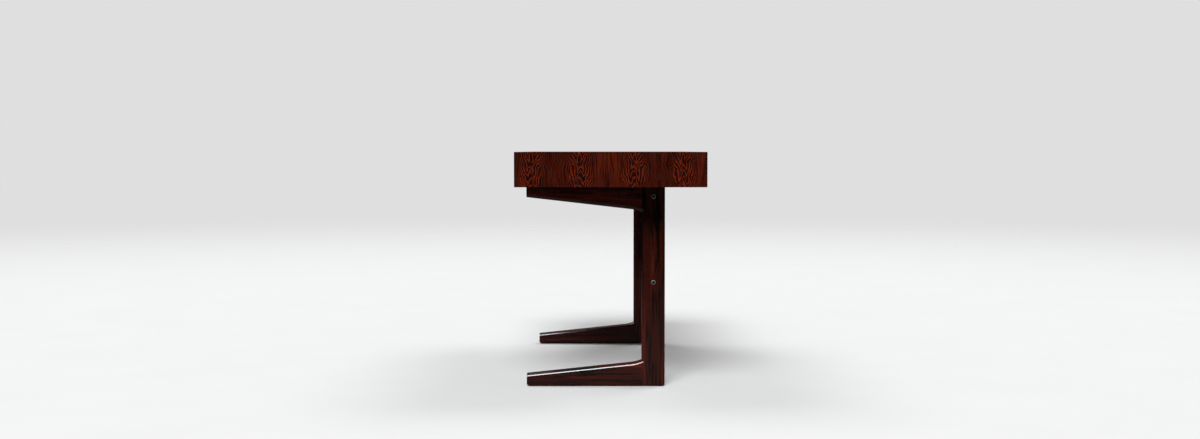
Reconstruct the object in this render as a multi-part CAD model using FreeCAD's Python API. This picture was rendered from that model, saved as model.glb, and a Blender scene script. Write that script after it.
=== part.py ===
"""Cantilever writing desk: a shallow mitred case with a row of drawers, carried on two C-shaped legs
that a bolted modesty panel holds apart.

Millimetres. X runs along the desk to the sitter's right, Y from the sitter's side (-Y) to the back (+Y),
Z up. The origin is on the floor, below the middle of the desk top.
"""

import FreeCAD, Part
import math
import os

from FreeCAD import Vector

# The desk as a whole
DESK_LENGTH = 1300.0
DESK_DEPTH = 580.0
DESK_HEIGHT = 730.0

# The case: top and sides mitred together, bottom, back and partitions tongued in
CASE_HEIGHT = 106.0
TOP_THICKNESS = 20.0
SIDE_THICKNESS = 20.0
BOTTOM_THICKNESS = 18.0
BACK_THICKNESS = 18.0
PARTITION_THICKNESS = 18.0
LIPPING = 5.0
CASE_ARRIS = 1.2
TONGUE_THICKNESS = 6.0
TONGUE_DEPTH = 6.0
BACK_TONGUE_SET = 2.0
SPLINE_THICKNESS = 4.0
SPLINE_WIDTH = 12.0
SPLINE_STOP = 40.0
GLUE_GAP = 0.5

# The drawers, named from the sitter's left
DRAWER_NAMES = ("left", "middle", "right")
PARTITION_NAMES = ("left", "right")
FRONT_THICKNESS = 20.0
FRONT_RECESS = 1.0
FRONT_GAP = 1.5
FRONT_ARRIS = 1.0
FINGER_GAP = 24.0
FINGER_COVE = 8.0
FINGER_COVE_RISE = 9.0
DRAWER_SIDE_THICKNESS = 14.0
DRAWER_LIFT = 6.0
DRAWER_HEADROOM = 10.0
DRAWER_REAR_GAP = 41.0
DRAWER_BACK_THICKNESS = 13.0
DRAWER_BACK_DROP = 2.0
DRAWER_BOTTOM_THICKNESS = 4.0
DRAWER_BOTTOM_RISE = 6.0
DRAWER_GROOVE = 4.0
TAIL_COUNT = 3
TAIL_LENGTH = 11.0
TAIL_SLOPE = 8.0
PIN_WIDTH = 4.0

# The wooden runners, let into the bays' walls, that the drawer sides are grooved for
RUNNER_PROUD = 7.0
RUNNER_HOUSING = 4.0
RUNNER_HEIGHT = 12.0
RUNNER_SETBACK = 25.0
RUNNER_STOP = 15.0
RUNNER_PLAY = 0.6

# The C-shaped legs: a post with an arm and a foot tenoned into its front
LEG_THICKNESS = 45.0
LEG_INSET = 140.0
LEG_SETBACK = 30.0
LEG_REACH = 430.0
LEG_ROUND = 10.0
POST_WIDTH = 72.0
ARM_TIP = 34.5
ARM_ROOT = 75.5
FOOT_TIP = 33.5
FOOT_ROOT = 71.5
FOOT_NIP = 4.0
SWEEP_LENGTH = 34.0
SWEEP_RADIUS = 130.0
TENON_THICKNESS = 15.0
TENON_SHOULDER = 14.0
GLIDE_HEIGHT = 4.0
GLIDE_DIAMETER = 19.0
GLIDE_MARGIN = 7.0

# The modesty panel, and the bolts and threaded inserts that hold it between the posts
PANEL_THICKNESS = 22.0
PANEL_HEIGHT = 317.0
PANEL_GAP = 7.0
PANEL_ARRIS = 1.5
BOLT_MARGIN = 25.0
BOLT_DIAMETER = 8.0
BOLT_HEAD_DIAMETER = 14.0
BOLT_HEAD_HEIGHT = 2.5
SOCKET_WIDTH = 6.0
SOCKET_DEPTH = 5.0
INSERT_DIAMETER = 12.0
INSERT_LENGTH = 25.0
HOLE_PLAY = 0.25
THREAD_BITE = 0.5

# The screws that hold the case down on the arms
SCREW_DIAMETER = 5.0
SCREW_HEAD_DIAMETER = 10.0
SCREW_HEAD_HEIGHT = 3.0
SCREW_GRIP = 24.0
SCREW_BITE = 13.0
SCREW_TIP_MARGIN = 45.0
SCREW_ROOT_MARGIN = 60.0

# Places worked out from the sizes above
HALF_LENGTH = DESK_LENGTH / 2
FRONT = -DESK_DEPTH / 2
BACK = DESK_DEPTH / 2
CASE_FLOOR = DESK_HEIGHT - CASE_HEIGHT
TOP_UNDERSIDE = DESK_HEIGHT - TOP_THICKNESS
BOTTOM_TOP = CASE_FLOOR + BOTTOM_THICKNESS
INNER_HALF = HALF_LENGTH - SIDE_THICKNESS
CORE = (FRONT + LIPPING, BACK - LIPPING)
BACK_PANEL_FRONT = BACK - BACK_THICKNESS

DRAWER_FACE = FRONT + FRONT_RECESS
SHOULDER = DRAWER_FACE + FRONT_THICKNESS
BOTTOM_FRONT = SHOULDER + FINGER_GAP
BAY_WIDTH = (2 * INNER_HALF - len(PARTITION_NAMES) * PARTITION_THICKNESS) / len(DRAWER_NAMES)
BAY_PITCH = BAY_WIDTH + PARTITION_THICKNESS
SIDE_LOW = BOTTOM_TOP + DRAWER_LIFT
SIDE_HIGH = TOP_UNDERSIDE - DRAWER_HEADROOM
DRAWER_REAR = BACK_PANEL_FRONT - DRAWER_REAR_GAP
RUNNER_SPAN = (SHOULDER + RUNNER_SETBACK, DRAWER_REAR - RUNNER_STOP)
RUNNER_TOP = (SIDE_LOW + SIDE_HIGH + RUNNER_HEIGHT) / 2
RUNNER_LOW = RUNNER_TOP - RUNNER_HEIGHT

LEG_OUTER = HALF_LENGTH - LEG_INSET
LEG_INNER = LEG_OUTER - LEG_THICKNESS
LEG_SPAN = (LEG_INNER, LEG_OUTER)
LEG_MIDDLE = (LEG_OUTER + LEG_INNER) / 2
TIP = FRONT + LEG_SETBACK
POST_BACK = TIP + LEG_REACH
POST_FRONT = POST_BACK - POST_WIDTH
POST_MIDDLE = (POST_FRONT + POST_BACK) / 2
TENON_LENGTH = POST_WIDTH / 2 - BOLT_DIAMETER
GLIDE_PLACES = (
    TIP + GLIDE_MARGIN + GLIDE_DIAMETER / 2,
    POST_BACK - GLIDE_MARGIN - GLIDE_DIAMETER / 2,
)
SCREW_PLACES = (TIP + SCREW_TIP_MARGIN, POST_FRONT - SCREW_ROOT_MARGIN)
SCREW_SEAT = CASE_FLOOR - SCREW_GRIP

PANEL_HIGH = CASE_FLOOR - PANEL_GAP
PANEL_LOW = PANEL_HIGH - PANEL_HEIGHT
PANEL_FRONT = POST_MIDDLE - PANEL_THICKNESS / 2
PANEL_BACK = POST_MIDDLE + PANEL_THICKNESS / 2
BOLT_HEIGHTS = (PANEL_HIGH - BOLT_MARGIN, PANEL_LOW + BOLT_MARGIN)

SIDES = {"left": -1, "right": 1}
X_AXIS = Vector(1, 0, 0)
Y_AXIS = Vector(0, 1, 0)
Z_AXIS = Vector(0, 0, 1)
TOUCH = 1e-4


# Shapes that the pieces are made from

def block(x, y, z):
    """A box between two values on each axis, given in either order."""
    low = Vector(min(x), min(y), min(z))
    return Part.makeBox(abs(x[1] - x[0]), abs(y[1] - y[0]), abs(z[1] - z[0]), low)


def rod(diameter, start, direction, length):
    """A cylinder from start, along direction."""
    return Part.makeCylinder(diameter / 2, length, start, direction)


def prism_along_x(corners, x):
    """A prism over a polygon of (y, z) corners, between two values of x."""
    outline = [Vector(x[0], y, z) for y, z in corners]
    return Part.Face(Part.makePolygon(outline + outline[:1])).extrude(X_AXIS * (x[1] - x[0]))


def prism_along_y(corners, y):
    """A prism over a polygon of (x, z) corners, between two values of y."""
    outline = [Vector(x, y[0], z) for x, z in corners]
    return Part.Face(Part.makePolygon(outline + outline[:1])).extrude(Y_AXIS * (y[1] - y[0]))


def edges_through(solid, points):
    """The edges of a solid that pass through any of the points."""
    vertices = [Part.Vertex(point) for point in points]
    return [
        edge
        for edge in solid.Edges
        if any(edge.distToShape(vertex)[0] < TOUCH for vertex in vertices)
    ]


def edges_along(solid, direction):
    """The straight edges of a solid that run along a direction."""
    return [
        edge
        for edge in solid.Edges
        if abs(edge.tangentAt(edge.FirstParameter).dot(direction)) > 1 - TOUCH
    ]


def less(solid, cutters):
    """A solid with others taken out of it, as one clean solid."""
    return solid.cut(Part.makeCompound(cutters)).removeSplitter().Solids[0]


def joined(solids):
    """Touching solids made into one clean solid."""
    return solids[0].multiFuse(solids[1:]).removeSplitter().Solids[0]


def mirrored(solid):
    """The same piece at the other end of the desk."""
    return solid.mirror(Vector(0, 0, 0), X_AXIS)


def both_ends(solids):
    """Pieces of the right end, and the same pieces at the left end."""
    return solids + [mirrored(solid) for solid in solids]


# The case

def case_envelope():
    """The case's outer block with every arris eased, which trims each outer board and lipping."""
    whole = block((-HALF_LENGTH, HALF_LENGTH), (FRONT, BACK), (CASE_FLOOR, DESK_HEIGHT))
    return whole.makeChamfer(CASE_ARRIS, whole.Edges)


def top_outline():
    """The top's section along the desk, mitred at both ends."""
    return [
        (-HALF_LENGTH, DESK_HEIGHT),
        (HALF_LENGTH, DESK_HEIGHT),
        (INNER_HALF, TOP_UNDERSIDE),
        (-INNER_HALF, TOP_UNDERSIDE),
    ]


def side_outline(way):
    """A side's section, mitred where it meets the top."""
    return [
        (way * HALF_LENGTH, CASE_FLOOR),
        (way * HALF_LENGTH, DESK_HEIGHT),
        (way * INNER_HALF, TOP_UNDERSIDE),
        (way * INNER_HALF, CASE_FLOOR),
    ]


def spline(slack):
    """The loose tongue across the right mitre, square to it, or with slack the groove that takes it."""
    mitre = math.hypot(SIDE_THICKNESS, TOP_THICKNESS)
    along = (SIDE_THICKNESS / mitre, TOP_THICKNESS / mitre)
    across = (along[1], -along[0])
    middle = (INNER_HALF + SIDE_THICKNESS / 3, TOP_UNDERSIDE + TOP_THICKNESS / 3)
    half_width = SPLINE_WIDTH / 2 + slack
    half_thickness = SPLINE_THICKNESS / 2
    corners = [
        (
            middle[0] + u * half_width * across[0] + v * half_thickness * along[0],
            middle[1] + u * half_width * across[1] + v * half_thickness * along[1],
        )
        for u, v in ((-1, -1), (1, -1), (1, 1), (-1, 1))
    ]
    return prism_along_y(corners, (FRONT + SPLINE_STOP, BACK - SPLINE_STOP))


def bottom_tongues(slack):
    """The tongues on the bottom panel's ends and back edge, or with slack their grooves."""
    z_low = CASE_FLOOR + (BOTTOM_THICKNESS - TONGUE_THICKNESS) / 2
    z = (z_low, z_low + TONGUE_THICKNESS)
    depth = TONGUE_DEPTH + slack
    run = (BOTTOM_FRONT, BACK_PANEL_FRONT)
    rear = block((-INNER_HALF, INNER_HALF), (BACK_PANEL_FRONT, BACK_PANEL_FRONT + depth), z)
    return both_ends([block((INNER_HALF, INNER_HALF + depth), run, z)]) + [rear]


def back_tongues(slack):
    """The tongues on the back panel's ends and top edge, or with slack their grooves."""
    y_low = BACK_PANEL_FRONT + BACK_TONGUE_SET
    y = (y_low, y_low + TONGUE_THICKNESS)
    depth = TONGUE_DEPTH + slack
    run = (CASE_FLOOR, TOP_UNDERSIDE)
    upper = block((-INNER_HALF, INNER_HALF), y, (TOP_UNDERSIDE, TOP_UNDERSIDE + depth))
    return both_ends([block((INNER_HALF, INNER_HALF + depth), y, run)]) + [upper]


def bay_walls(index):
    """The x values of a bay's left and right walls."""
    left = -INNER_HALF + index * BAY_PITCH
    return (left, left + BAY_WIDTH)


def partition_span(index):
    """The x values of a partition's two faces."""
    return (bay_walls(index)[1], bay_walls(index + 1)[0])


def partition_tongues(index, slack):
    """The tongues on a partition's top and bottom edges, or with slack their grooves."""
    x_low = partition_span(index)[0] + (PARTITION_THICKNESS - TONGUE_THICKNESS) / 2
    x = (x_low, x_low + TONGUE_THICKNESS)
    depth = TONGUE_DEPTH + slack
    y = (BOTTOM_FRONT, BACK_PANEL_FRONT)
    upper = block(x, y, (TOP_UNDERSIDE, TOP_UNDERSIDE + depth))
    lower = block(x, y, (BOTTOM_TOP - depth, BOTTOM_TOP))
    return [upper, lower]


def partition_grooves():
    """The grooves for every partition's tongues."""
    return [groove for index in range(len(PARTITION_NAMES)) for groove in partition_tongues(index, GLUE_GAP)]


def partition(index):
    """A divider between two bays, stepped down in front of the bottom panel's set-back edge."""
    corners = [
        (CORE[0], CASE_FLOOR),
        (BOTTOM_FRONT, CASE_FLOOR),
        (BOTTOM_FRONT, BOTTOM_TOP),
        (BACK_PANEL_FRONT, BOTTOM_TOP),
        (BACK_PANEL_FRONT, TOP_UNDERSIDE),
        (CORE[0], TOP_UNDERSIDE),
    ]
    board = prism_along_x(corners, partition_span(index))
    return joined([board] + partition_tongues(index, 0.0))


def runner(wall, way):
    """A runner let into a bay's wall, with the drawer on the side away from way."""
    x = (wall + way * RUNNER_HOUSING, wall - way * RUNNER_PROUD)
    return block(x, RUNNER_SPAN, (RUNNER_LOW, RUNNER_TOP))


def runner_parts():
    """A pair of runners in each bay."""
    parts = {}
    for index, name in enumerate(DRAWER_NAMES):
        for (side, way), wall in zip(SIDES.items(), bay_walls(index)):
            parts[f"{name}_drawer_{side}_runner"] = [runner(wall, way)]
    return parts


def lippings(y, envelope):
    """The solid edge strips of the top and the sides on one face of the case, eased at its arrises."""
    strips = [prism_along_y(top_outline(), y)]
    strips += [prism_along_y(side_outline(way), y) for way in SIDES.values()]
    return [strip.common(envelope).Solids[0] for strip in strips]


def partition_lippings(y):
    """The solid edge strips of the partitions."""
    upright = (CASE_FLOOR, TOP_UNDERSIDE)
    return [block(partition_span(index), y, upright) for index in range(len(PARTITION_NAMES))]


def case_parts():
    """The boards, lippings, splines and runners of the case."""
    envelope = case_envelope()
    runners = runner_parts()
    runner_housings = [solid for solids in runners.values() for solid in solids]
    back_grooves = back_tongues(GLUE_GAP)
    bottom_grooves = bottom_tongues(GLUE_GAP)
    mitre_grooves = both_ends([spline(GLUE_GAP)])

    top = prism_along_y(top_outline(), CORE).common(envelope).Solids[0]
    parts = {"top_panel": [less(top, back_grooves + mitre_grooves + partition_grooves())]}
    side_cuts = back_grooves + bottom_grooves + mitre_grooves + runner_housings
    for side, way in SIDES.items():
        board = prism_along_y(side_outline(way), CORE).common(envelope).Solids[0]
        parts[f"{side}_side_panel"] = [less(board, side_cuts)]

    bottom = block((-INNER_HALF, INNER_HALF), (BOTTOM_FRONT, BACK_PANEL_FRONT), (CASE_FLOOR, BOTTOM_TOP))
    bottom = joined([bottom] + bottom_tongues(0.0))
    parts["bottom_panel"] = [less(bottom, partition_grooves() + both_ends(screw_pilots()))]

    back = block((-INNER_HALF, INNER_HALF), (BACK_PANEL_FRONT, BACK), (CASE_FLOOR, TOP_UNDERSIDE))
    parts["back_panel"] = [less(joined([back] + back_tongues(0.0)), bottom_grooves)]

    for index, name in enumerate(PARTITION_NAMES):
        parts[f"{name}_partition"] = [less(partition(index), runner_housings)]
    front = (FRONT, CORE[0])
    parts["front_lipping"] = lippings(front, envelope) + partition_lippings(front)
    parts["rear_lipping"] = lippings((CORE[1], BACK), envelope)
    parts["mitre_splines"] = both_ends([spline(0.0)])
    return parts | runners


# The drawers

def tails(x):
    """The dovetails on the front end of a drawer side."""
    pitch = (SIDE_HIGH - SIDE_LOW) / TAIL_COUNT
    wide = (pitch - PIN_WIDTH) / 2
    narrow = wide - TAIL_LENGTH * math.tan(math.radians(TAIL_SLOPE))
    found = []
    for number in range(TAIL_COUNT):
        middle = SIDE_LOW + (number + 0.5) * pitch
        corners = [
            (SHOULDER, middle - narrow),
            (SHOULDER, middle + narrow),
            (SHOULDER - TAIL_LENGTH, middle + wide),
            (SHOULDER - TAIL_LENGTH, middle - wide),
        ]
        found.append(prism_along_x(corners, x))
    return found


def drawer_bottom(inner, slack):
    """The thin bottom that slides into grooves in the sides and the front, or with slack those grooves."""
    low = SIDE_LOW + DRAWER_BOTTOM_RISE
    z = (low, low + DRAWER_BOTTOM_THICKNESS)
    depth = DRAWER_GROOVE + slack
    sheet = block((inner[0] - depth, inner[1] + depth), (SHOULDER, DRAWER_REAR), z)
    lip = block(inner, (SHOULDER - depth, SHOULDER), z)
    return joined([sheet, lip])


def drawer_back(inner, slack):
    """The back, housed in the sides above the bottom, or with slack its housings."""
    low = SIDE_LOW + DRAWER_BOTTOM_RISE + DRAWER_BOTTOM_THICKNESS
    depth = DRAWER_GROOVE + slack
    y = (DRAWER_REAR - DRAWER_BACK_THICKNESS, DRAWER_REAR)
    return block((inner[0] - depth, inner[1] + depth), y, (low, SIDE_HIGH - DRAWER_BACK_DROP))


def drawer_front(outer, inner, sockets):
    """The front: it hangs below the drawer as a finger lip, coved behind, and holds the sides' tails."""
    z = (CASE_FLOOR + FRONT_GAP, TOP_UNDERSIDE - FRONT_GAP)
    board = block(outer, (DRAWER_FACE, SHOULDER), z)
    face_edges = [edge for edge in board.Edges if abs(edge.CenterOfMass.y - DRAWER_FACE) < TOUCH]
    board = board.makeChamfer(FRONT_ARRIS, face_edges)
    cove_start = Vector(outer[0], SHOULDER, z[0] + FINGER_COVE_RISE)
    cove = rod(2 * FINGER_COVE, cove_start, X_AXIS, outer[1] - outer[0])
    return less(board, sockets + [cove, drawer_bottom(inner, GLUE_GAP)])


def drawer_parts(index, name):
    """One drawer's five pieces."""
    walls = bay_walls(index)
    outer = (walls[0] + FRONT_GAP, walls[1] - FRONT_GAP)
    inner = (outer[0] + DRAWER_SIDE_THICKNESS, outer[1] - DRAWER_SIDE_THICKNESS)
    groove = RUNNER_PROUD - FRONT_GAP + RUNNER_PLAY
    groove_y = (RUNNER_SPAN[0], DRAWER_REAR)
    groove_z = (RUNNER_LOW - RUNNER_PLAY, RUNNER_TOP)
    housings = [drawer_bottom(inner, GLUE_GAP), drawer_back(inner, GLUE_GAP)]
    boards = {
        "left": ((outer[0], inner[0]), (outer[0], outer[0] + groove)),
        "right": ((inner[1], outer[1]), (outer[1] - groove, outer[1])),
    }
    parts = {}
    sockets = []
    for side, (board_x, groove_x) in boards.items():
        side_tails = tails(board_x)
        sockets += side_tails
        board = joined([block(board_x, (SHOULDER, DRAWER_REAR), (SIDE_LOW, SIDE_HIGH))] + side_tails)
        parts[f"{name}_drawer_{side}_side"] = [less(board, housings + [block(groove_x, groove_y, groove_z)])]
    parts[f"{name}_drawer_front"] = [drawer_front(outer, inner, sockets)]
    parts[f"{name}_drawer_back"] = [drawer_back(inner, 0.0)]
    parts[f"{name}_drawer_bottom"] = [drawer_bottom(inner, 0.0)]
    return parts


# The legs, modelled at the right end

def limb(base, way, tip, root, nip):
    """A tapered bar for an arm or a foot, run on a little into the post.

    It grows from a flat face at height base, up (way 1) or down (way -1), from tip to root. Its tapered
    face sweeps up where it reaches the post, and is rounded over along both edges. nip is the radius
    of the tip's other corner.
    """
    slope = math.atan2(root - tip, POST_FRONT - TIP)
    end = POST_FRONT + 2 * LEG_ROUND
    start = POST_FRONT - SWEEP_LENGTH
    centre_y = start - SWEEP_RADIUS * math.sin(slope)
    centre_rise = tip + (start - TIP) * math.tan(slope) + SWEEP_RADIUS * math.cos(slope)
    turn = math.asin((POST_FRONT - centre_y) / SWEEP_RADIUS)

    def at(y, rise):
        return Vector(LEG_INNER, y, base + way * rise)

    def on_sweep(angle):
        return at(centre_y + SWEEP_RADIUS * math.sin(angle), centre_rise - SWEEP_RADIUS * math.cos(angle))

    end_rise = centre_rise - SWEEP_RADIUS * math.cos(turn) + (end - POST_FRONT) * math.tan(turn)
    tapered = [
        Part.LineSegment(at(TIP, tip), on_sweep(slope)).toShape(),
        Part.Arc(on_sweep(slope), on_sweep((slope + turn) / 2), on_sweep(turn)).toShape(),
        Part.LineSegment(on_sweep(turn), at(end, end_rise)).toShape(),
    ]
    closing = [
        Part.LineSegment(at(end, end_rise), at(end, 0)).toShape(),
        Part.LineSegment(at(end, 0), at(TIP + nip, 0)).toShape(),
        Part.LineSegment(at(TIP, nip), at(TIP, tip)).toShape(),
    ]
    if nip:
        inset = nip * (1 - math.sqrt(0.5))
        closing.insert(2, Part.Arc(at(TIP + nip, 0), at(TIP + inset, inset), at(TIP, nip)).toShape())
    across = X_AXIS * LEG_THICKNESS
    bar = Part.Face(Part.Wire(tapered + closing)).extrude(across)
    middles = [edge.valueAt((edge.FirstParameter + edge.LastParameter) / 2) for edge in tapered]
    return bar.makeFillet(LEG_ROUND, edges_through(bar, middles + [point + across for point in middles]))


def tenon(base, way, root, slack):
    """The tenon on a limb's root, or with slack the mortise that takes it."""
    x = (LEG_MIDDLE - TENON_THICKNESS / 2, LEG_MIDDLE + TENON_THICKNESS / 2)
    y = (POST_FRONT, POST_FRONT + TENON_LENGTH + slack)
    z = (base + way * TENON_SHOULDER, base + way * (root - TENON_SHOULDER))
    return block(x, y, z)


def post(foot_bar, arm_bar):
    """The upright, rounded over at its four arrises but left square where the arm and the foot join it."""
    z = (GLIDE_HEIGHT, CASE_FLOOR)
    bar = block(LEG_SPAN, (POST_FRONT, POST_BACK), z)
    bar = bar.makeFillet(LEG_ROUND, edges_along(bar, Z_AXIS))
    joint_slab = block(LEG_SPAN, (POST_FRONT, POST_FRONT + LEG_ROUND), z)
    square_ends = [limb_bar.common(joint_slab).Solids[0] for limb_bar in (foot_bar, arm_bar)]
    return joined([bar] + square_ends)


def bolt_hole(height):
    """The clearance hole for a bolt, right through the post."""
    start = Vector(LEG_INNER, POST_MIDDLE, height)
    return rod(BOLT_DIAMETER + 2 * HOLE_PLAY, start, X_AXIS, LEG_THICKNESS)


def screw(y):
    """A screw up through an arm into the bottom panel."""
    seat = Vector(LEG_MIDDLE, y, SCREW_SEAT)
    head = rod(SCREW_HEAD_DIAMETER, seat, -Z_AXIS, SCREW_HEAD_HEIGHT)
    shank = rod(SCREW_DIAMETER, seat, Z_AXIS, SCREW_GRIP + SCREW_BITE)
    return joined([head, shank])


def screw_holes(y):
    """A screw's counterbore from the arm's underside, and the clearance hole above it."""
    seat = Vector(LEG_MIDDLE, y, SCREW_SEAT)
    bore = rod(SCREW_HEAD_DIAMETER + 2 * HOLE_PLAY, seat, -Z_AXIS, ARM_ROOT)
    shank = rod(SCREW_DIAMETER + 2 * HOLE_PLAY, seat, Z_AXIS, SCREW_GRIP)
    return [bore, shank]


def screw_pilots():
    """The pilot holes in the bottom panel above the right arm."""
    diameter = SCREW_DIAMETER - 2 * THREAD_BITE
    mouths = [Vector(LEG_MIDDLE, y, CASE_FLOOR) for y in SCREW_PLACES]
    return [rod(diameter, mouth, Z_AXIS, SCREW_BITE + GLUE_GAP) for mouth in mouths]


def leg_parts():
    """Both legs' posts, arms and feet, with the screws and the glides."""
    foot_bar = limb(GLIDE_HEIGHT, 1, FOOT_TIP, FOOT_ROOT, FOOT_NIP)
    arm_bar = limb(CASE_FLOOR, -1, ARM_TIP, ARM_ROOT, 0.0)
    ahead = block(LEG_SPAN, (TIP, POST_FRONT), (GLIDE_HEIGHT, CASE_FLOOR))
    arm = joined([arm_bar.common(ahead).Solids[0], tenon(CASE_FLOOR, -1, ARM_ROOT, 0.0)])
    foot = joined([foot_bar.common(ahead).Solids[0], tenon(GLIDE_HEIGHT, 1, FOOT_ROOT, 0.0)])
    mortises = [tenon(CASE_FLOOR, -1, ARM_ROOT, GLUE_GAP), tenon(GLIDE_HEIGHT, 1, FOOT_ROOT, GLUE_GAP)]
    right = {
        "post": less(post(foot_bar, arm_bar), mortises + [bolt_hole(height) for height in BOLT_HEIGHTS]),
        "arm": less(arm, [hole for y in SCREW_PLACES for hole in screw_holes(y)]),
        "foot": foot,
    }
    glides = [rod(GLIDE_DIAMETER, Vector(LEG_MIDDLE, y, 0), Z_AXIS, GLIDE_HEIGHT) for y in GLIDE_PLACES]
    parts = {f"right_{piece}": [solid] for piece, solid in right.items()}
    parts |= {f"left_{piece}": [mirrored(solid)] for piece, solid in right.items()}
    parts["case_screws"] = both_ends([screw(y) for y in SCREW_PLACES])
    parts["glides"] = both_ends(glides)
    return parts


# The modesty panel and its fastenings

def bolt(height):
    """A flat-headed bolt with a hexagon socket, through the right post into its insert."""
    seat = Vector(LEG_OUTER, POST_MIDDLE, height)
    head = rod(BOLT_HEAD_DIAMETER, seat, X_AXIS, BOLT_HEAD_HEIGHT)
    shank = rod(BOLT_DIAMETER, seat, -X_AXIS, LEG_THICKNESS + INSERT_LENGTH)
    face = LEG_OUTER + BOLT_HEAD_HEIGHT
    corner = SOCKET_WIDTH / math.sqrt(3)
    turns = [math.radians(60 * number) for number in range(6)]
    hexagon = [(POST_MIDDLE + corner * math.cos(turn), height + corner * math.sin(turn)) for turn in turns]
    return less(joined([head, shank]), [prism_along_x(hexagon, (face - SOCKET_DEPTH, face))])


def insert(height):
    """A threaded sleeve in the panel's right end."""
    mouth = Vector(LEG_INNER, POST_MIDDLE, height)
    tapped = rod(BOLT_DIAMETER - 2 * THREAD_BITE, mouth, -X_AXIS, INSERT_LENGTH)
    return less(rod(INSERT_DIAMETER, mouth, -X_AXIS, INSERT_LENGTH), [tapped])


def insert_hole(height):
    """The bore for an insert in the panel's right end."""
    mouth = Vector(LEG_INNER, POST_MIDDLE, height)
    return rod(INSERT_DIAMETER + 2 * HOLE_PLAY, mouth, -X_AXIS, INSERT_LENGTH + GLUE_GAP)


def panel_parts():
    """The modesty panel, its bolts and its inserts."""
    board = block((-LEG_INNER, LEG_INNER), (PANEL_FRONT, PANEL_BACK), (PANEL_LOW, PANEL_HIGH))
    board = board.makeChamfer(PANEL_ARRIS, edges_along(board, X_AXIS))
    return {
        "modesty_panel": [less(board, both_ends([insert_hole(height) for height in BOLT_HEIGHTS]))],
        "panel_bolts": both_ends([bolt(height) for height in BOLT_HEIGHTS]),
        "threaded_inserts": both_ends([insert(height) for height in BOLT_HEIGHTS]),
    }


def main():
    parts = case_parts() | leg_parts() | panel_parts()
    for index, name in enumerate(DRAWER_NAMES):
        parts |= drawer_parts(index, name)
    os.makedirs("parts", exist_ok=True)
    for name, solids in parts.items():
        shape = solids[0] if len(solids) == 1 else Part.makeCompound(solids)
        shape.exportStep(os.path.join("parts", name + ".step"))


main()
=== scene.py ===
import math
from typing import NamedTuple

import bmesh
import bpy
from bpy.props import FloatProperty, FloatVectorProperty, PointerProperty
from mathutils import Matrix, Vector


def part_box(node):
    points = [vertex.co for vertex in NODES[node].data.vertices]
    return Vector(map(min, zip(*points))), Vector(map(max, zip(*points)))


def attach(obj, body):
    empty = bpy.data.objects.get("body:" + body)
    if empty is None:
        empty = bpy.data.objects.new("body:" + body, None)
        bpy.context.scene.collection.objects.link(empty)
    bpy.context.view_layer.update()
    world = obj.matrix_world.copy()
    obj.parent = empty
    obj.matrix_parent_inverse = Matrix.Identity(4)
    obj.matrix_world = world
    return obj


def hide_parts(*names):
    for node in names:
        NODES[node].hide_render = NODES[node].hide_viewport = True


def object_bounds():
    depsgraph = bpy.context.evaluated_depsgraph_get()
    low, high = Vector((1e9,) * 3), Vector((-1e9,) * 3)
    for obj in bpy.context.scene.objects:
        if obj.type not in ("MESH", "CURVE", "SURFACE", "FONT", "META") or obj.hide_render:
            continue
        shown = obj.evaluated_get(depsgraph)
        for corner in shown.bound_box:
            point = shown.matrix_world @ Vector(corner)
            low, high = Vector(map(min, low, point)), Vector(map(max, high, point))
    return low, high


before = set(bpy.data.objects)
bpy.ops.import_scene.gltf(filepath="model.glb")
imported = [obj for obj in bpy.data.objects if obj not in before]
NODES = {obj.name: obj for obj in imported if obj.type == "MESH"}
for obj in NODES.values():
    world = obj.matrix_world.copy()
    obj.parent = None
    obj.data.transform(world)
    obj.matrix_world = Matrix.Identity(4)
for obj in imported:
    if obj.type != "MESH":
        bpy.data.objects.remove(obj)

bl_info = {
    "name": "Cantilever desk finish",
    "version": (1, 0, 0),
    "blender": (4, 5, 0),
    "location": "3D View > Sidebar > Desk",
    "description": "Gives the packed desk its rosewood, pale drawers, turned steel and studio light",
    "category": "Object",
}

CAD_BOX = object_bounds()

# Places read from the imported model, in metres
BOLT_LOW, BOLT_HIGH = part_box("panel_bolts")
SCREW_LOW, SCREW_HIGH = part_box("case_screws")
GLIDE_LOW, GLIDE_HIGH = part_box("glides")
POST_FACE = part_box("right_post")[1].x
PANEL_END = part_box("modesty_panel")[1].x
TOP_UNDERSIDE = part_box("top_panel")[0].z
SIDE_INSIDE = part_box("right_side_panel")[0].x
FALL_LENGTH = CAD_BOX[1].x + CAD_BOX[1].z
BOLT_HEAD_DIAMETER = BOLT_HIGH.y - BOLT_LOW.y
BOLT_HEAD_HEIGHT = BOLT_HIGH.x - POST_FACE
BOLT_AXIS_Y = (BOLT_HIGH.y + BOLT_LOW.y) / 2
BOLT_HEIGHTS = (BOLT_HIGH.z - BOLT_HEAD_DIAMETER / 2, BOLT_LOW.z + BOLT_HEAD_DIAMETER / 2)

X, Y, Z = range(3)
SIDES = (-1, 1)
DRAWERS = ("left", "middle", "right")
DRAWER_LONG_PIECES = ("left_side", "right_side", "left_runner", "right_runner")

# Turns that lay a piece's grain on Z
GRAIN_ALONG_X = (0.0, -math.pi / 2, 0.0)
GRAIN_ALONG_Y = (math.pi / 2, 0.0, 0.0)
GRAIN_ALONG_Z = (0.0, 0.0, 0.0)


# Node trees

def put(tree, kind, inputs=None, **settings):
    """Adds a node; each input is given a value, or a socket to link from."""
    made = tree.nodes.new(kind)
    for name, value in settings.items():
        setattr(made, name, value)
    for key, value in (inputs or {}).items():
        if isinstance(value, bpy.types.NodeSocket):
            tree.links.new(value, made.inputs[key])
        else:
            made.inputs[key].default_value = value
    return made


def calc(tree, operation, *terms):
    """A Math node on up to three terms, each a number or a socket."""
    return put(tree, "ShaderNodeMath", dict(enumerate(terms)), operation=operation).outputs[0]


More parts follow.
